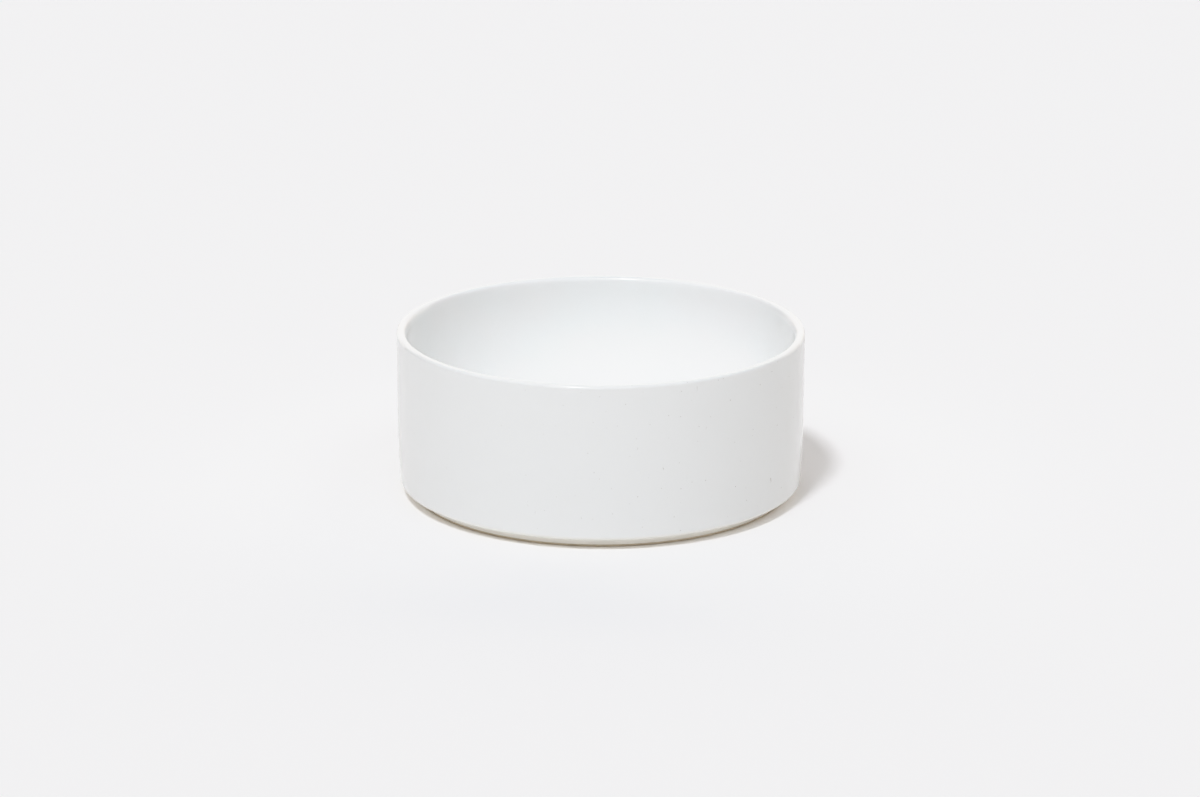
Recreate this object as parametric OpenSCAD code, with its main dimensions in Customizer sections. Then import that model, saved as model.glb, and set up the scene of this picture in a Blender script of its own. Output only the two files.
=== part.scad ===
// Latte bowl: a low, straight-walled bowl on a set-back foot ring.
// One fired clay body carries two areas of glaze, parted by the bare ring that it stands on.
// The origin is on the table under the middle of the bowl, and +Z is up. Lengths are in millimetres.

/* [Bowl] */
// Outside diameter of the straight upper wall
outer_d = 130; // [115:1:160]
// Height from the table to the top of the rim
bowl_h = 53.2; // [44:0.2:80]
// Thickness of the wall, glaze included
wall_t = 3.3; // [3.1:0.1:5]
// Thickness of the floor, glaze included
floor_t = 4.4; // [3:0.1:7]
// Radius of the hollow sweep from the inside wall to the floor
cove_r = 10; // [5:0.5:22]

/* [Rim] */
// Radius of the rim on its outer side
rim_outer_r = 1.2; // [0.6:0.1:1.4]
// Width of the flat along the top of the rim
rim_flat = 0.2; // [0.1:0.05:0.4]
// Radius of the soft shoulder inside the rim, as a share of the wall's thickness
shoulder_share = 1.2; // [1:0.05:1.5]

/* [Lower wall] */
// How far the outside has drawn in where the lower edge begins
draw_in = 0.8; // [0.3:0.05:2]
// Height of the stretch of wall that draws in
draw_in_h = 28; // [15:1:36]
// Radius of the wall's lower edge
lower_edge_r = 1.1; // [0.6:0.1:2.2]

/* [Foot] */
// Height of the foot, from the table to the ledge under the wall
foot_h = 3.4; // [2.6:0.1:6]
// Width of the flat ledge, from the lower edge's arc to the side of the foot
ledge_w = 3.2; // [2:0.05:8]
// Width of the foot ring, glaze included
foot_w = 4.2; // [3:0.1:9]
// Radius of the two edges that the bare ring stands on
foot_edge_r = 0.6; // [0.2:0.05:0.7]
// Radius of the hollow corner between the ledge and the foot
foot_fillet_r = 0.8; // [0.4:0.1:1.4]
// Depth of the hollow under the floor
recess_h = 2.2; // [1.9:0.1:3.5]
// Radius of the hollow corner between the foot ring and the underside
recess_fillet_r = 0.7; // [0.4:0.1:0.9]

/* [Glaze] */
// Thickness of the glaze
glaze_t = 0.3; // [0.15:0.05:0.5]
// Height of the bare band that is wiped clean above the table
bare_h = 0.8; // [0.8:0.05:1]

/* [Hidden] */
$fn = 180;
// How far a cut runs past the face that it opens
overrun = 0.5;
// Share of the glaze's thickness that its lower edge is rounded by
bead_share = 0.7;
porcelain_colour = [0.90, 0.89, 0.86];
glaze_colour = [0.95, 0.96, 0.96];
outer_r = outer_d / 2;
inner_r = outer_r - wall_t;
floor_z = recess_h + floor_t;
// The inside of the rim turns through most of its corner on a tight arc, and the shoulder eases the rest.
rim_turn = 60;
shoulder_r = wall_t * shoulder_share;
shoulder_reach = shoulder_r * (1 - sin(rim_turn));
rim_inner_r = (wall_t - rim_outer_r - rim_flat - shoulder_reach) / sin(rim_turn);
rim_inner_centre = [outer_r - rim_outer_r - rim_flat, bowl_h - rim_inner_r];
shoulder_centre = rim_inner_centre - (shoulder_r - rim_inner_r) * heading(90 + rim_turn);
bead_r = glaze_t * bead_share;
// The drawn-in stretch is one arc that leaves the straight wall without a corner.
draw_in_z = foot_h + draw_in_h;
lower_edge_centre = [outer_r - draw_in - lower_edge_r, foot_h + lower_edge_r];
lower_edge_drop = draw_in_z - lower_edge_centre[1];
// Its radius is the one that also touches the lower edge's arc.
draw_in_r = draw_in / 2 + lower_edge_r + pow(lower_edge_drop, 2) / (2 * draw_in);
draw_in_centre = [outer_r - draw_in_r, draw_in_z];
lower_edge_turn = -asin(lower_edge_drop / (draw_in_r - lower_edge_r));
foot_r = lower_edge_centre[0] - ledge_w;
recess_r = foot_r - foot_w;

function heading(angle) = [cos(angle), sin(angle)];

// What an arc of radius r takes off a corner, or fills it with, between two headings from its centre
module corner(centre, r, from, to) {
    reach = r + overrun;
    translate(centre)
        difference() {
            polygon([
                [0, 0],
                reach * heading(from),
                reach / cos((to - from) / 2) * heading((from + to) / 2),
                reach * heading(to)
            ]);
            circle(r = r);
        }
}

// Everything within the bowl's outside, with its glazed faces moved inwards by inset
module outside(inset) {
    foot_corner_r = foot_fillet_r + inset;
    difference() {
        union() {
            translate([0, draw_in_z])
                square([outer_r - inset, bowl_h - inset - draw_in_z]);
            intersection() {
                translate(draw_in_centre)
                    circle(r = draw_in_r - inset);
                translate([0, foot_h + inset])
                    square([outer_r, draw_in_z - foot_h - inset]);
            }
        }
        corner([outer_r - rim_outer_r, bowl_h - rim_outer_r], rim_outer_r - inset, 0, 90);
        corner(lower_edge_centre, lower_edge_r - inset, -90, lower_edge_turn);
    }
    square([foot_r - inset, foot_h + inset]);
    corner([foot_r + foot_fillet_r, foot_h - foot_fillet_r], foot_corner_r, 90, 180);
}

// The hollow of the bowl, with its glazed faces moved outwards by outset
module hollow(outset) {
    difference() {
        translate([0, floor_z - outset])
            square([inner_r + outset, bowl_h + overrun - floor_z + outset]);
        corner([inner_r - cove_r, floor_z + cove_r], cove_r + outset, -90, 0);
    }
    difference() {
        translate([0, shoulder_centre[1]])
            square([rim_inner_centre[0], bowl_h + overrun - shoulder_centre[1]]);
        translate(shoulder_centre)
            circle(r = shoulder_r - outset);
    }
    corner(rim_inner_centre, rim_inner_r - outset, 90, 90 + rim_turn);
}

// The hollow under the floor, with its glazed faces moved outwards by outset
module recess(outset) {
    difference() {
        translate([0, -overrun])
            square([recess_r + outset, recess_h + outset + overrun]);
        corner(
            [recess_r - recess_fillet_r, recess_h - recess_fillet_r],
            recess_fillet_r + outset, 0, 90
        );
    }
}

// The band above the table that the glaze is wiped from
module bare_band() {
    translate([0, -overrun])
        square([outer_r, bare_h + overrun]);
}

// The fired clay: wall, floor and foot ring in one piece, bare only where it stands
module porcelain_body() {
    color(porcelain_colour)
        rotate_extrude()
            difference() {
                outside(glaze_t);
                hollow(glaze_t);
                recess(glaze_t);
                corner(
                    [foot_r - glaze_t - foot_edge_r, foot_edge_r],
                    foot_edge_r, -90, 0
                );
                corner(
                    [recess_r + glaze_t + foot_edge_r, foot_edge_r],
                    foot_edge_r, 180, 270
                );
            }
}

// The glaze that runs over the inside, the rim, the outside and the foot's outer face
module glaze_coat() {
    color(glaze_colour)
        rotate_extrude()
            difference() {
                outside(0);
                hollow(0);
                difference() {
                    outside(glaze_t);
                    hollow(glaze_t);
                }
                bare_band();
                corner([foot_r - bead_r, bare_h + bead_r], bead_r, -90, 0);
            }
}

// The glaze on the underside, within the foot ring
module base_glaze() {
    color(glaze_colour)
        rotate_extrude()
            difference() {
                recess(glaze_t);
                recess(0);
                bare_band();
                corner([recess_r + bead_r, bare_h + bead_r], bead_r, 180, 270);
            }
}

porcelain_body();
glaze_coat();
base_glaze();
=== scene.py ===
import math

import bmesh
import bpy
from bpy.props import FloatProperty, FloatVectorProperty, IntProperty, PointerProperty
from bpy.types import NodeSocket, Operator, Panel, PropertyGroup
from mathutils import Matrix, Vector


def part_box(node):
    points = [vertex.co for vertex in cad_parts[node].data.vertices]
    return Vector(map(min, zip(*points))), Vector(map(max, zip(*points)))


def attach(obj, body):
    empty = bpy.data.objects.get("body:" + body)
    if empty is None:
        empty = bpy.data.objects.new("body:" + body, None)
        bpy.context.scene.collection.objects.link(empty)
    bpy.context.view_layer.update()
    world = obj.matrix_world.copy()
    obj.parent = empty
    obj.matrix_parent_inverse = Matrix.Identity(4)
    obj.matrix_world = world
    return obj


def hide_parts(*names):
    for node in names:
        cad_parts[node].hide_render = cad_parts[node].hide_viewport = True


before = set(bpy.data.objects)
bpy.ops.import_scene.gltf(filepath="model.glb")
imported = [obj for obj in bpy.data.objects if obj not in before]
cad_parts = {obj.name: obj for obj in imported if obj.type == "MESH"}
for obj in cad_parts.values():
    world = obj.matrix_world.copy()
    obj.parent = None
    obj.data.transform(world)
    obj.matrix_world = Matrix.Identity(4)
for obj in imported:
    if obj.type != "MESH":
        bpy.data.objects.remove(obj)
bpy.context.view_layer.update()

bl_info = {
    "name": "Latte bowl",
    "version": (1, 0, 0),
    "blender": (4, 5, 0),
    "location": "View3D > Sidebar > Latte bowl",
    "description": "Turns a glazed porcelain latte bowl on its foot ring and sets it in a pale studio",
    "category": "Object",
}

MM = 0.001
UM = 0.000001
BODY = "root"
# Faces along each arc of the outline
CORNER_STEPS = 12
COVE_STEPS = 24
DRAW_IN_STEPS = 16
# Edges that turn by more than this stay crisp.
SHARP_ANGLE = math.radians(40)
# How far the rim's inside turns on its tight arc before the shoulder takes over, in degrees
RIM_TURN = 60
LIGHT_BOUNCES = 20
# The tone curve is drawn with this many points up to the brightest light that it eases in.
TONE_STEPS = 16
BRIGHTEST = 4
# Width of the camera's sensor in millimetres
SENSOR_W = 36

COAT_LOW, COAT_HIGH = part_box("glaze_coat")
CLAY_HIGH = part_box("porcelain_body")[1]
BASE_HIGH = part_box("base_glaze")[1]
GLAZE_T = COAT_HIGH.x - CLAY_HIGH.x


def linear(hex_colour):
    """An sRGB hex colour as the linear red, green and blue that Blender works in."""
    shares = [int(hex_colour[i : i + 2], 16) / 255 for i in (1, 3, 5)]
    return tuple(s / 12.92 if s <= 0.04045 else ((s + 0.055) / 1.055) ** 2.4 for s in shares)


def length(name, description, default):
    """A length property."""
    return FloatProperty(
        name=name, description=description, default=default, min=0, subtype="DISTANCE", unit="LENGTH"
    )


def strength(name, description, default):
    """A light's strength as a property."""
    return FloatProperty(name=name, description=description, default=default, min=0)


def angle(name, description, degrees):
    """An angle property, its default given in degrees."""
    return FloatProperty(
        name=name, description=description, default=math.radians(degrees), subtype="ANGLE", unit="ROTATION"
    )


def colour(name, description, hex_colour):
    """A colour property."""
    return FloatVectorProperty(
        name=name, description=description, default=linear(hex_colour), min=0, max=1, subtype="COLOR"
    )


class BowlForm(PropertyGroup):
    """Sizes of the bowl"""

    outer_r: length("Outside radius", "Radius of the straight upper wall", COAT_HIGH.x)
    height: length("Height", "From the table to the top of the rim", COAT_HIGH.z)
    wall_t: length("Wall", "Thickness of the wall, glaze included", 3.3 * MM)
    floor_t: length("Floor", "Thickness of the floor, glaze included", 4.4 * MM)
    cove_r: length("Cove", "Radius of the sweep from the inside wall to the floor", 10 * MM)
    rim_outer_r: length("Rim, outer side", "Radius of the rim's outer side", 1.2 * MM)
    rim_flat: length("Rim, flat", "Width of the flat along the top of the rim", 0.2 * MM)
    shoulder_r: length("Rim, shoulder", "Radius of the soft shoulder inside the rim", 3.96 * MM)
    draw_in: length("Draw-in", "How far the wall draws in above its lower edge", 0.8 * MM)
    draw_in_h: length("Draw-in height", "Height of the stretch of wall that draws in", 28 * MM)
    lower_edge_r: length("Lower edge", "Radius of the wall's lower edge", 1.1 * MM)
    foot_h: length("Foot height", "From the table to the ledge under the wall", 3.4 * MM)
    ledge_w: length("Ledge", "From the lower edge's arc to the side of the foot", 3.2 * MM)
    foot_edge_r: length("Foot edges", "Radius of the edges that the bowl stands on", 0.6 * MM)
    foot_fillet_r: length("Foot fillet", "Radius of the corner of ledge and foot", 0.8 * MM)
    recess_r: length("Recess radius", "Radius of the hollow underneath", BASE_HIGH.x - GLAZE_T)
    recess_h: length("Recess depth", "Depth of the hollow underneath", BASE_HIGH.z - GLAZE_T)
    recess_fillet_r: length("Recess fillet", "Radius of the corner in the hollow underneath", 0.7 * MM)
    glaze_t: length("Glaze", "Thickness of the glaze", GLAZE_T)
    bare_h: length("Bare band", "Height of the band that is wiped clean", COAT_LOW.z)
    bead_r: length("Glaze bead", "Radius that the glaze ends in", 0.21 * MM)
    turn_steps: IntProperty(
        name="Steps round", description="Faces round the bowl, a multiple of four", default=288, min=12
    )


class BowlFinish(PropertyGroup):
    """Colours of the glaze and the clay, and sizes of their patterns"""

    glaze_colour: colour("Glaze", "Colour of the glaze over white clay", "#FEFEFE")
    thick_colour: colour("Thick glaze", "Colour of the glaze where it lies thicker", "#FCFEFE")
    # Painted shade: the outside wall's colour is the same glaze as the inside's, a little greyer.
    shaded_outside_colour: colour("Dipped glaze", "Colour of the thinner glaze on the outside", "#FAFBFA")
    # Partly thin glaze, partly painted warm light bounced from the floor: it tints the lower edge, the foot
    # and the underside.
    thin_glaze_and_bounce_colour: colour("Thin glaze", "Colour of the glaze where it runs thin over an edge", "#FBF9F3")
    speck_colour: colour("Specks", "Colour of the pinholes and specks in the glaze", "#BDB9B1")
    clay_colour: colour("Bare clay", "Colour of the fired clay where it is bare", "#E6DBC8")
    dust_colour: colour("Dust", "Colour of the dust that the bare clay holds", "#C4B8A4")
    cloud_size: length("Clouds", "Width of the thicker and thinner patches of glaze", 28 * MM)
    # The painted shade of the outside fades in over this width at the crest of the rim.
    crest_blend: length("Crest blend", "How softly poured glaze meets dipped glaze on the rim", 0.4 * MM)
    # The height over which the cream tint, part thin glaze and part painted warm bounce light, fades in.
    thin_glaze_and_bounce_h: length("Thin glaze's height", "How far above the ledge the glaze runs thin", 1.6 * MM)
    speck_r: length("Speck radius", "Radius of the pinholes and specks", 0.19 * MM)
    speck_gap: length("Speck spacing", "Width of the cells that hold one speck at most", 1.9 * MM)
    hair_r: length("Hair radius", "Half the width of the hairs of kiln dust", 0.2 * MM)
    hair_gap: length("Hair spacing", "Width of the cells that hold one hair at most", 2.6 * MM)
    curl_size: length("Curls", "Length over which a hair curls", 2.5 * MM)
    curl_sway: length("Sway of the curls", "How far the hairs sway at the most", 2.2 * MM)
    draught_w: length("Draught", "Half the width over which the marks thicken to the right", 40 * MM)
    ripple_size: length("Ripple", "Width of the slow ripples in the glaze", 14 * MM)
    ripple_h: length("Ripple height", "Height of the slow ripples", 2 * UM)
    peel_size: length("Orange peel", "Width of the fine pebbles in the glaze", 1.4 * MM)
    peel_h: length("Orange peel height", "Height of the fine pebbles", 0.4 * UM)
    grain_size: length("Grain", "Width of the bare clay's grain", 0.4 * MM)
    grain_h: length("Grain height", "Height of the bare clay's grain", 20 * UM)
    smudge_size: length("Smudges", "Width of the smudges on the bare clay", 7 * MM)


class StudioSetup(PropertyGroup):
    """Floor, lights and camera"""

    floor_colour: colour("Floor", "Colour of the matt floor", "#FBFAFA")
    room_colour: colour("Room light", "Colour of the light from the dim walls of the studio", "#FFE0A8")
    paper_colour: colour("Paper light", "Colour of the light from the lit paper wall behind", "#FFF4EA")
    ring_colour: colour("Ring light", "Colour of the soft light that hangs all round", "#F5F9FF")
    key_colour: colour("Key light", "Colour of the light at the front left", "#F5F9FF")
    backdrop_colour: colour("Backdrop", "Colour of the wall that the camera sees far off", "#F3F3F3")
    floor_size: length("Floor size", "Width of the floor", 60)
    room_strength: strength("Room light strength", "Brightness of the dim walls", 0.21)
    paper_strength: strength("Paper light strength", "Brightness of the paper wall behind", 1.32)
    ring_front: strength("Ring strength, front", "Brightness of the soft ring over the camera", 1.74)
    ring_back: strength("Ring strength, back", "Brightness of the soft ring over the paper wall", 0.38)
    key_strength: strength("Key strength", "Strength of the key light", 1.27)
    room_elevation: angle("Room light's edge", "How high the dim walls begin to be lit", 15)
    ring_low: angle("Ring's lower edge", "How high the soft ring begins", 40)
    ring_high: angle("Ring's upper edge", "How high the soft ring ends", 68)
    paper_reach: angle("Paper wall's reach", "How far to each side the paper wall goes on", 50)
    paper_bearing: angle("Paper wall's bearing", "How far right of the bowl its middle stands", 8)
    edge_softness: angle("Softness of the edges", "How wide the soft edge of each light is", 6)
    key_spread: angle("Key spread", "How wide the key light looks from the bowl", 8)
    key_azimuth: angle("Key bearing", "How far the key stands to the left of the camera", 21.8)
    key_elevation: angle("Key elevation", "How high the key stands", 58)
    highlight_start: FloatProperty(
        name="Highlight start", description="Brightness from which the highlights are eased in",
        default=0.87, min=0
    )
    highlight_softness: FloatProperty(
        name="Highlight softness", description="How strongly the highlights are eased in",
        default=20, min=0.01
    )
    camera_back: length("Camera distance", "Level distance from the bowl's middle", 1.25047)
    camera_up: length("Camera height", "Height above the floor", 0.40861)
    camera_left: length("Camera offset", "How far left of the bowl's middle", 0.22 * MM)
    camera_pitch: angle("Camera pitch", "How far the camera looks down", 16.857)
    camera_roll: angle("Camera roll", "How far the camera leans", 0.0991)
    camera_lens: FloatProperty(
        name="Lens", description="Focal length in millimetres", default=122.48, min=1
    )


def arc(centre, radius, start, end, steps):
    """Points of an arc in the plane of radius and height, with its angles in degrees."""
    angles = [math.radians(start + (end - start) * i / steps) for i in range(steps + 1)]
    return [(centre[0] + radius * math.cos(a), centre[1] + radius * math.sin(a)) for a in angles]


def hollow_line(form, outset):
    """The inside, from the middle of the floor up to the rim's top, moved into the clay by outset."""
    floor_z = form.recess_h + form.floor_t
    cove = (form.outer_r - form.wall_t - form.cove_r, floor_z + form.cove_r)
    # The rim turns through most of its corner on a tight arc, and the shoulder eases the rest.
    share = math.sin(math.radians(RIM_TURN))
    rim_w = form.wall_t - form.rim_outer_r - form.rim_flat
    rim_r = (rim_w - form.shoulder_r * (1 - share)) / share
    rim = (form.outer_r - form.rim_outer_r - form.rim_flat, form.height - rim_r)
    shoulder = (
        rim[0] + (form.shoulder_r - rim_r) * share,
        rim[1] - (form.shoulder_r - rim_r) * math.cos(math.radians(RIM_TURN)),
    )
    return [
        (0, floor_z - outset),
        *arc(cove, form.cove_r + outset, -90, 0, COVE_STEPS),
        *arc(shoulder, form.shoulder_r - outset, 180, 90 + RIM_TURN, CORNER_STEPS),
        *arc(rim, rim_r - outset, 90 + RIM_TURN, 90, CORNER_STEPS)[1:],
    ]


def outside_line(form, inset):
    """The outside from the top of the rim down to the side of the foot, moved into the clay by inset."""
    rim = (form.outer_r - form.rim_outer_r, form.height - form.rim_outer_r)
    edge = (form.outer_r - form.draw_in - form.lower_edge_r, form.foot_h + form.lower_edge_r)
    # The drawn-in stretch is one arc that meets the straight wall and the lower edge without a corner.
    sweep_z = form.foot_h + form.draw_in_h
    drop = sweep_z - edge[1]
    sweep_r = form.draw_in / 2 + form.lower_edge_r + drop**2 / (2 * form.draw_in)
    sweep = (form.outer_r - sweep_r, sweep_z)
    turn = -math.degrees(math.asin(drop / (sweep_r - form.lower_edge_r)))
    foot_r = edge[0] - form.ledge_w
    fillet = (foot_r + form.foot_fillet_r, form.foot_h - form.foot_fillet_r)
    return [
        *arc(rim, form.rim_outer_r - inset, 90, 0, CORNER_STEPS),
        *arc(sweep, sweep_r - inset, 0, turn, DRAW_IN_STEPS),
        *arc(edge, form.lower_edge_r - inset, turn, -90, CORNER_STEPS)[1:],
        *arc(fillet, form.foot_fillet_r + inset, 90, 180, CORNER_STEPS),
    ]


def recess_line(form, outset):
    """The underside from the side of the foot ring to the middle, moved into the clay by outset."""
    corner = (form.recess_r - form.recess_fillet_r, form.recess_h - form.recess_fillet_r)
    return [
        *arc(corner, form.recess_fillet_r + outset, 0, 90, CORNER_STEPS),
        (0, form.recess_h + outset),
    ]


def foot_radius(form):
    """Radius of the glazed side of the foot."""
    return form.outer_r - form.draw_in - form.lower_edge_r - form.ledge_w


def turned(name, outline, steps, material):
    """A piece turned from an outline of (radius, height) that starts and ends on the axis."""
    mesh = bpy.data.meshes.new(name)
    made = bmesh.new()
    rings = []
    for radius, height in outline:
        if radius > 0:
            angles = [math.tau * i / steps for i in range(steps)]
            points = [(radius * math.cos(a), radius * math.sin(a), height) for a in angles]
        else:
            points = [(0, 0, height)]
        rings.append([made.verts.new(point) for point in points])
    for low, high in zip(rings, rings[1:]):
        for i in range(steps):
            there = (i + 1) % steps
            corners = [low[i % len(low)], low[there % len(low)]]
            corners += [high[there % len(high)], high[i % len(high)]]
            made.faces.new(dict.fromkeys(corners))
    bmesh.ops.recalc_face_normals(made, faces=made.faces)
    for face in made.faces:
        face.smooth = True
    for edge in made.edges:
        edge.smooth = edge.calc_face_angle(0) < SHARP_ANGLE
    made.to_mesh(mesh)
    made.free()
    mesh.materials.append(material)
    piece = bpy.data.objects.new(name, mesh)
    bpy.context.scene.collection.objects.link(piece)
    # Flat stretches keep their own light right up to the arcs beside them.
    even = piece.modifiers.new("Even light", "WEIGHTED_NORMAL")
    even.mode = "FACE_AREA"
    even.weight = 100
    even.keep_sharp = True
    return piece


def fit(piece, node):
    """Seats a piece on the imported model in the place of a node."""
    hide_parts(node)
    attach(piece, BODY)


def add(tree, kind, inputs, **settings):
    """Adds a node, with its own settings and with the values or links of its sockets."""
    node = tree.nodes.new(kind)
    for name, value in settings.items():
        setattr(node, name, value)
    for socket, value in inputs.items():
        if isinstance(value, NodeSocket):
            tree.links.new(value, node.inputs[socket])
        else:
            node.inputs[socket].default_value = value
    return node


def new_material(name):
    """An empty material and its tree."""
    material = bpy.data.materials.new(name)
    material.use_nodes = True
    material.node_tree.nodes.clear()
    return material, material.node_tree


def spots(tree, place, spacing, radius):
    """A mask of round spots, at most one to a cell as wide as spacing."""
    cells = add(tree, "ShaderNodeTexVoronoi", {"Vector": place, "Scale": 1 / spacing})
    inside = add(tree, "ShaderNodeMapRange", {
        "Value": cells.outputs["Distance"],
        "From Min": radius / spacing,
        "From Max": radius / spacing / 2,
    }).outputs["Result"]
    # Each cell's own random colour says how dark its spot is, and half of the cells show none.
    chance = add(tree, "ShaderNodeSeparateColor", {"Color": cells.outputs["Color"]})
    depth = add(tree, "ShaderNodeMapRange", {
        "Value": chance.outputs["Red"],
        "From Min": 0.5,
        "From Max": 1,
    }).outputs["Result"]
    return add(tree, "ShaderNodeMath", {0: inside, 1: depth}, operation="MULTIPLY").outputs[0]


def glaze_over_porcelain(form, finish):
    """Clear glaze over white porcelain, dipped and fired: a soft gloss whose skin ripples a little."""
    material, tree = new_material("glaze_over_porcelain")
    place = add(tree, "ShaderNodeTexCoord", {}).outputs["Object"]
    across = add(tree, "ShaderNodeSeparateXYZ", {"Vector": place})

    # The glaze lies a little thicker in some places: slow clouds, too faint to see but in a raking light.
    thickness = add(tree, "ShaderNodeTexNoise", {
        "Vector": place,
        "Scale": 1 / finish.cloud_size,
        "Detail": 3,
    })
    clouds = add(tree, "ShaderNodeMapRange", {
        "Value": thickness.outputs["Fac"],
        "From Min": 0.35,
        "From Max": 0.65,
    }).outputs["Result"]
    tint = add(tree, "ShaderNodeMix", {
        0: clouds,
        6: (*finish.glaze_colour, 1),
        7: (*finish.thick_colour, 1),
    }, data_type="RGBA").outputs[2]
    # The outside wall takes a slightly greyer copy of the same glaze as the inside: painted shade, which
    # keeps the inside the brighter of the two.
    level = add(tree, "ShaderNodeVectorMath", {0: place, 1: (1, 1, 0)}, operation="MULTIPLY")
    reach = add(tree, "ShaderNodeVectorMath", {0: level.outputs[0]}, operation="LENGTH")
    crest = form.outer_r - form.rim_outer_r - form.rim_flat
    outside = add(tree, "ShaderNodeMapRange", {
        "Value": reach.outputs["Value"],
        "From Min": crest - finish.crest_blend,
        "From Max": crest + finish.crest_blend,
    }).outputs["Result"]
    tint = add(tree, "ShaderNodeMix", {
        0: outside,
        6: tint,
        7: (*finish.shaded_outside_colour, 1),
    }, data_type="RGBA").outputs[2]
    # From just above the ledge down, the glaze is tinted cream: partly where it runs thin over the wall's
    # lower edge and the cream of the clay comes through, partly painted warm light bounced up from the floor
    # near the table.
    thin = add(tree, "ShaderNodeMapRange", {
        "Value": across.outputs["Z"],
        "From Min": form.foot_h + finish.thin_glaze_and_bounce_h,
        "From Max": form.foot_h,
    }, interpolation_type="SMOOTHSTEP").outputs["Result"]
    tint = add(tree, "ShaderNodeMix", {
        0: thin,
        6: tint,
        7: (*finish.thin_glaze_and_bounce_colour, 1),
    }, data_type="RGBA").outputs[2]

    # Pinholes and ash specks about 0.3 mm wide, and a few short hairs of kiln dust that curl.
    specks = spots(tree, place, finish.speck_gap, finish.speck_r)
    stray = add(tree, "ShaderNodeTexNoise", {"Vector": place, "Scale": 1 / finish.curl_size})
    swayed = add(tree, "ShaderNodeVectorMath", {
        0: stray.outputs["Color"],
        1: [finish.curl_sway] * 3,
        2: place,
    }, operation="MULTIPLY_ADD")
    # A spot drawn out to nearly seven times its width makes a hair.
    drawn = add(tree, "ShaderNodeMapping", {"Vector": swayed.outputs[0], "Scale": (1, 1, 0.15)})
    hairs = spots(tree, drawn.outputs["Vector"], finish.hair_gap, finish.hair_r)
    marks = add(tree, "ShaderNodeMath", {0: specks, 1: hairs}, operation="MAXIMUM").outputs[0]
    # Most of them landed on the side that faced the draught in the kiln, and none in the sheltered inside.
    draught = add(tree, "ShaderNodeMapRange", {
        "Value": across.outputs["X"],
        "From Min": -finish.draught_w,
        "From Max": finish.draught_w,
        "To Min": 0.15,
    }).outputs["Result"]
    marks = add(tree, "ShaderNodeMath", {0: marks, 1: draught}, operation="MULTIPLY").outputs[0]
    marks = add(tree, "ShaderNodeMath", {0: marks, 1: outside}, operation="MULTIPLY").outputs[0]
    tint = add(tree, "ShaderNodeMix", {
        0: marks,
        6: tint,
        7: (*finish.speck_colour, 1),
    }, data_type="RGBA").outputs[2]

    waves = add(tree, "ShaderNodeTexNoise", {
        "Vector": place,
        "Scale": 1 / finish.ripple_size,
        "Detail": 1,
    })
    ripple = add(tree, "ShaderNodeBump", {
        "Height": waves.outputs["Fac"],
        "Strength": 1,
        "Distance": finish.ripple_h,
    })
    # Orange peel: the fine pebbling that a dipped glaze keeps.
    pebbles = add(tree, "ShaderNodeTexNoise", {
        "Vector": place,
        "Scale": 1 / finish.peel_size,
        "Detail": 1,
    })
    peel = add(tree, "ShaderNodeBump", {
        "Height": pebbles.outputs["Fac"],
        "Strength": 1,
        "Distance": finish.peel_h,
        "Normal": ripple.outputs["Normal"],
    })
    # The gloss is a shade softer in the clouds.
    gloss = add(tree, "ShaderNodeMapRange", {"Value": clouds, "To Min": 0.13, "To Max": 0.18})
    shader = add(tree, "ShaderNodeBsdfPrincipled", {
        "Base Color": tint,
        "Roughness": gloss.outputs["Result"],
        "IOR": 1.5,
        "Normal": peel.outputs["Normal"],
    })
    add(tree, "ShaderNodeOutputMaterial", {"Surface": shader.outputs["BSDF"]})
    return material


def bare_porcelain(finish):
    """Fired porcelain without glaze, sponged clean: matt and cream, with a dry grain and grey smudges."""
    material, tree = new_material("bare_porcelain")
    place = add(tree, "ShaderNodeTexCoord", {}).outputs["Object"]
    grain = add(tree, "ShaderNodeTexNoise", {
        "Vector": place,
        "Scale": 1 / finish.grain_size,
        "Detail": 3,
    }).outputs["Fac"]
    # The grain's hollows hold a little of the dust that the ring picks up from shelves and tables.
    worn = add(tree, "ShaderNodeMapRange", {
        "Value": grain,
        "From Min": 0.5,
        "From Max": 0.3,
        "To Max": 0.5,
    }).outputs["Result"]
    handled = add(tree, "ShaderNodeTexNoise", {
        "Vector": place,
        "Scale": 1 / finish.smudge_size,
        "Detail": 3,
    })
    smudges = add(tree, "ShaderNodeMapRange", {
        "Value": handled.outputs["Fac"],
        "From Min": 0.5,
        "From Max": 0.7,
        "To Max": 0.6,
    }).outputs["Result"]
    dust = add(tree, "ShaderNodeMath", {0: worn, 1: smudges}, operation="MAXIMUM").outputs[0]
    tint = add(tree, "ShaderNodeMix", {
        0: dust,
        6: (*finish.clay_colour, 1),
        7: (*finish.dust_colour, 1),
    }, data_type="RGBA").outputs[2]
    bump = add(tree, "ShaderNodeBump", {
        "Height": grain,
        "Strength": 1,
        "Distance": finish.grain_h,
    })
    shader = add(tree, "ShaderNodeBsdfPrincipled", {
        "Base Color": tint,
        "Roughness": 0.75,
        "IOR": 1.5,
        "Normal": bump.outputs["Normal"],
    })
    add(tree, "ShaderNodeOutputMaterial", {"Surface": shader.outputs["BSDF"]})
    return material


def matt_floor(studio):
    """Matt painted board: it spreads the light evenly and hardly shines."""
    material, tree = new_material("matt_floor")
    shader = add(tree, "ShaderNodeBsdfPrincipled", {
        "Base Color": (*studio.floor_colour, 1),
        "Roughness": 0.9,
        "Specular IOR Level": 0.0,
    })
    add(tree, "ShaderNodeOutputMaterial", {"Surface": shader.outputs["BSDF"]})
    return material


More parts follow.
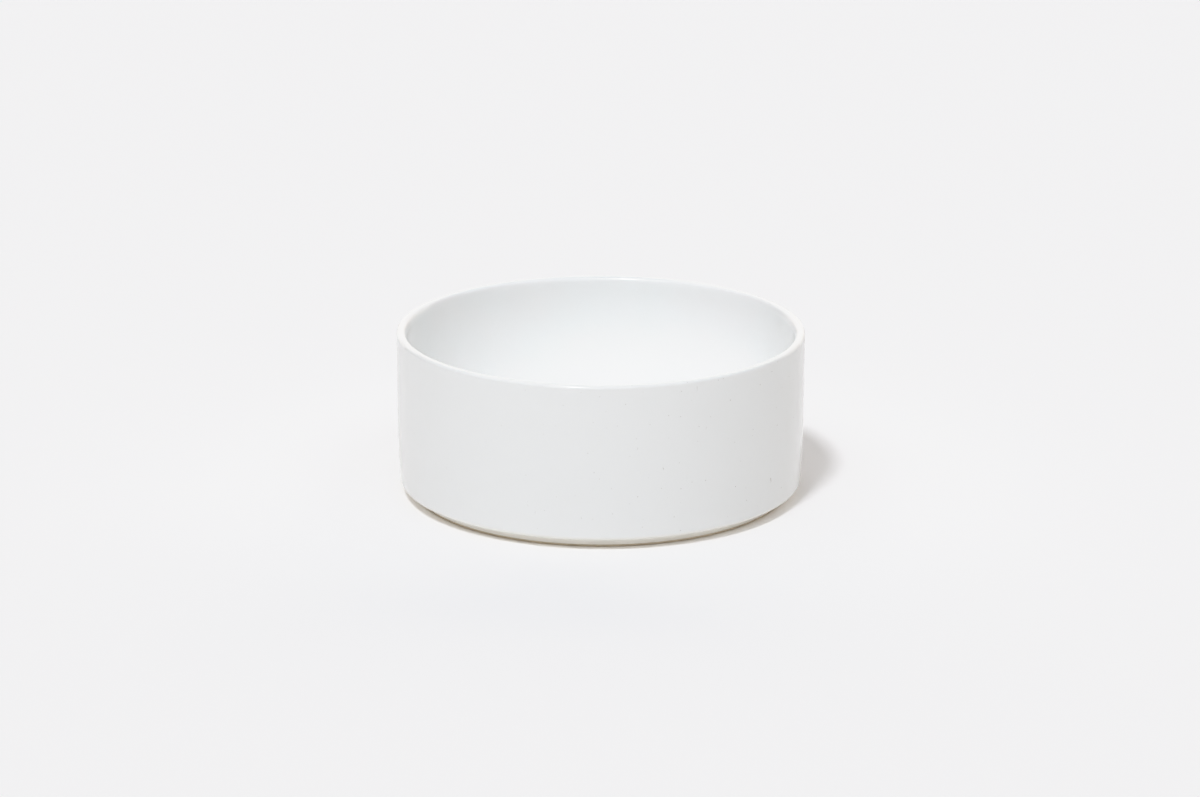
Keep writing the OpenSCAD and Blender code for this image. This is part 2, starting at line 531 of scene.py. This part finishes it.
def roll_off_highlights(view, studio):
    """Eases the brightest tones in below white, as a camera does, and leaves the darker ones as they are."""
    view.view_transform = "Standard"
    view.use_curve_mapping = True
    mapping = view.curve_mapping
    mapping.clip_max_x = mapping.clip_max_y = BRIGHTEST
    # The last of the four curves holds for red, green and blue together.
    tones = mapping.curves[3].points
    tones[-1].location = (studio.highlight_start, studio.highlight_start)
    for i in range(1, TONE_STEPS + 1):
        over = (BRIGHTEST - studio.highlight_start) * (i / TONE_STEPS) ** 2
        eased = (math.sqrt(1 + 4 * studio.highlight_softness * over) - 1) / (2 * studio.highlight_softness)
        tones.new(studio.highlight_start + over, studio.highlight_start + eased)
    for tone in tones:
        tone.handle_type = "VECTOR"
    mapping.update()


def changing_over(tree, below, above, sine, edge, softness):
    """One light up to an edge and another beyond it, where the sine of each angle is given."""
    share = add(tree, "ShaderNodeMapRange", {
        "Value": sine,
        "From Min": math.sin(edge - softness / 2),
        "From Max": math.sin(edge + softness / 2),
    }, interpolation_type="SMOOTHSTEP")
    both = add(tree, "ShaderNodeMixShader", {0: share.outputs["Result"], 1: below, 2: above})
    return both.outputs["Shader"]


def studio_light(studio):
    """Light from all round: dim walls, a lit paper wall behind, and a soft ring under an unlit ceiling."""
    world = bpy.data.worlds.new("studio")
    world.use_nodes = True
    tree = world.node_tree
    tree.nodes.clear()
    place = add(tree, "ShaderNodeTexCoord", {}).outputs["Generated"]
    across = add(tree, "ShaderNodeSeparateXYZ", {"Vector": place})
    height = across.outputs["Z"]
    bearing = (math.sin(studio.paper_bearing), math.cos(studio.paper_bearing), 0)
    facing = add(tree, "ShaderNodeVectorMath", {0: place, 1: bearing}, operation="DOT_PRODUCT")
    # The ring is strongest over the camera and fades towards the paper wall.
    fade = add(tree, "ShaderNodeMapRange", {
        "Value": across.outputs["Y"],
        "From Min": -math.cos(studio.ring_low),
        "From Max": math.cos(studio.ring_low),
        "To Min": studio.ring_front,
        "To Max": studio.ring_back,
    })
    unlit = add(tree, "ShaderNodeBackground", {"Strength": 0}).outputs[0]
    room = add(tree, "ShaderNodeBackground", {
        "Color": (*studio.room_colour, 1),
        "Strength": studio.room_strength,
    }).outputs[0]
    paper = add(tree, "ShaderNodeBackground", {
        "Color": (*studio.paper_colour, 1),
        "Strength": studio.paper_strength,
    }).outputs[0]
    ring = add(tree, "ShaderNodeBackground", {
        "Color": (*studio.ring_colour, 1),
        "Strength": fade.outputs["Result"],
    }).outputs[0]
    backdrop = add(tree, "ShaderNodeBackground", {"Color": (*studio.backdrop_colour, 1)}).outputs[0]
    soft = studio.edge_softness
    side = math.pi / 2 - studio.paper_reach
    light = changing_over(tree, unlit, room, height, studio.room_elevation, soft)
    light = changing_over(tree, light, paper, facing.outputs["Value"], side, soft)
    light = changing_over(tree, light, ring, height, studio.ring_low, soft)
    light = changing_over(tree, light, unlit, height, studio.ring_high, soft)
    # The camera alone sees a pale wall in the place of all this.
    seen = add(tree, "ShaderNodeLightPath", {}).outputs["Is Camera Ray"]
    view = add(tree, "ShaderNodeMixShader", {0: seen, 1: light, 2: backdrop})
    add(tree, "ShaderNodeOutputWorld", {"Surface": view.outputs["Shader"]})
    return world


class MakeGlazeCoat(Operator):
    """Turn the glaze over the inside, the rim, the outside and the foot's outer side"""

    bl_idname = "latte_bowl.glaze_coat"
    bl_label = "Glaze coat"

    def execute(self, context):
        form = context.scene.bowl_form
        foot_r = foot_radius(form)
        bead = (foot_r - form.bead_r, form.bare_h + form.bead_r)
        outline = [
            *hollow_line(form, 0),
            *outside_line(form, 0),
            *arc(bead, form.bead_r, 0, -90, CORNER_STEPS),
            (foot_r - form.glaze_t, form.bare_h),
            *reversed(outside_line(form, form.glaze_t)),
            *reversed(hollow_line(form, form.glaze_t)),
        ]
        glaze = glaze_over_porcelain(form, context.scene.bowl_finish)
        coat = turned("bowl_glaze_coat", outline, form.turn_steps, glaze)
        fit(coat, "glaze_coat")
        return {"FINISHED"}


class MakePorcelainBody(Operator):
    """Turn the fired clay, which shows only on the ring that the bowl stands on"""

    bl_idname = "latte_bowl.porcelain_body"
    bl_label = "Porcelain body"

    def execute(self, context):
        form = context.scene.bowl_form
        glaze_t = form.glaze_t
        edge_r = form.foot_edge_r
        outline = [
            *hollow_line(form, glaze_t),
            *outside_line(form, glaze_t),
            *arc((foot_radius(form) - glaze_t - edge_r, edge_r), edge_r, 0, -90, CORNER_STEPS),
            *arc((form.recess_r + glaze_t + edge_r, edge_r), edge_r, 270, 180, CORNER_STEPS),
            *recess_line(form, glaze_t),
        ]
        clay = bare_porcelain(context.scene.bowl_finish)
        body = turned("bowl_porcelain_body", outline, form.turn_steps, clay)
        fit(body, "porcelain_body")
        return {"FINISHED"}


class MakeBaseGlaze(Operator):
    """Turn the glaze on the underside, within the foot ring"""

    bl_idname = "latte_bowl.base_glaze"
    bl_label = "Base glaze"

    def execute(self, context):
        form = context.scene.bowl_form
        bead = (form.recess_r + form.bead_r, form.bare_h + form.bead_r)
        outline = [
            *reversed(recess_line(form, form.glaze_t)),
            (form.recess_r + form.glaze_t, form.bare_h),
            *arc(bead, form.bead_r, 270, 180, CORNER_STEPS),
            *recess_line(form, 0),
        ]
        glaze = glaze_over_porcelain(form, context.scene.bowl_finish)
        base = turned("bowl_base_glaze", outline, form.turn_steps, glaze)
        fit(base, "base_glaze")
        return {"FINISHED"}


class SetStage(Operator):
    """Lay the floor, hang the lights and stand the camera"""

    bl_idname = "latte_bowl.stage"
    bl_label = "Studio"

    def execute(self, context):
        scene = context.scene
        studio = scene.bowl_studio
        roll_off_highlights(scene.view_settings, studio)
        # White glaze passes light on from wall to wall many times before it fades.
        scene.cycles.max_bounces = LIGHT_BOUNCES
        scene.cycles.diffuse_bounces = LIGHT_BOUNCES

        half = studio.floor_size / 2
        mesh = bpy.data.meshes.new("floor")
        corners = [(-half, -half, 0), (half, -half, 0), (half, half, 0), (-half, half, 0)]
        mesh.from_pydata(corners, [], [(0, 1, 2, 3)])
        mesh.materials.append(matt_floor(studio))
        floor = bpy.data.objects.new("floor", mesh)
        scene.collection.objects.link(floor)

        scene.world = studio_light(studio)

        light = bpy.data.lights.new("key", "SUN")
        light.energy = studio.key_strength
        light.angle = studio.key_spread
        light.color = studio.key_colour
        key = bpy.data.objects.new("key", light)
        towards = Vector((
            -math.sin(studio.key_azimuth) * math.cos(studio.key_elevation),
            -math.cos(studio.key_azimuth) * math.cos(studio.key_elevation),
            math.sin(studio.key_elevation),
        ))
        key.rotation_mode = "QUATERNION"
        key.rotation_quaternion = towards.to_track_quat("Z", "Y")
        key.location = towards
        scene.collection.objects.link(key)

        lens = bpy.data.cameras.new("camera")
        lens.lens = studio.camera_lens
        lens.sensor_width = SENSOR_W
        camera = bpy.data.objects.new("camera", lens)
        camera.matrix_world = (
            Matrix.Translation((-studio.camera_left, -studio.camera_back, studio.camera_up))
            @ Matrix.Rotation(math.pi / 2 - studio.camera_pitch, 4, "X")
            @ Matrix.Rotation(studio.camera_roll, 4, "Z")
        )
        scene.collection.objects.link(camera)
        scene.camera = camera
        return {"FINISHED"}


GROUPS = {"bowl_form": BowlForm, "bowl_finish": BowlFinish, "bowl_studio": StudioSetup}
MAKERS = (SetStage, MakePorcelainBody, MakeGlazeCoat, MakeBaseGlaze)


class BowlPanel(Panel):
    """The bowl's pieces, sizes and colours"""

    bl_idname = "VIEW3D_PT_latte_bowl"
    bl_label = "Latte bowl"
    bl_space_type = "VIEW_3D"
    bl_region_type = "UI"
    bl_category = "Latte bowl"

    def draw(self, context):
        for maker in MAKERS:
            self.layout.operator(maker.bl_idname)
        for group_name, group in GROUPS.items():
            box = self.layout.box()
            for value_name in group.__annotations__:
                box.prop(getattr(context.scene, group_name), value_name)


def register():
    for cls in (*GROUPS.values(), *MAKERS, BowlPanel):
        bpy.utils.register_class(cls)
    for name, group in GROUPS.items():
        setattr(bpy.types.Scene, name, PointerProperty(type=group))


def unregister():
    for name in GROUPS:
        delattr(bpy.types.Scene, name)
    for cls in reversed((*GROUPS.values(), *MAKERS, BowlPanel)):
        bpy.utils.unregister_class(cls)


def main():
    register()
    bpy.ops.latte_bowl.stage()
    bpy.ops.latte_bowl.porcelain_body()
    bpy.ops.latte_bowl.glaze_coat()
    bpy.ops.latte_bowl.base_glaze()


if __name__ == "__main__":
    main()
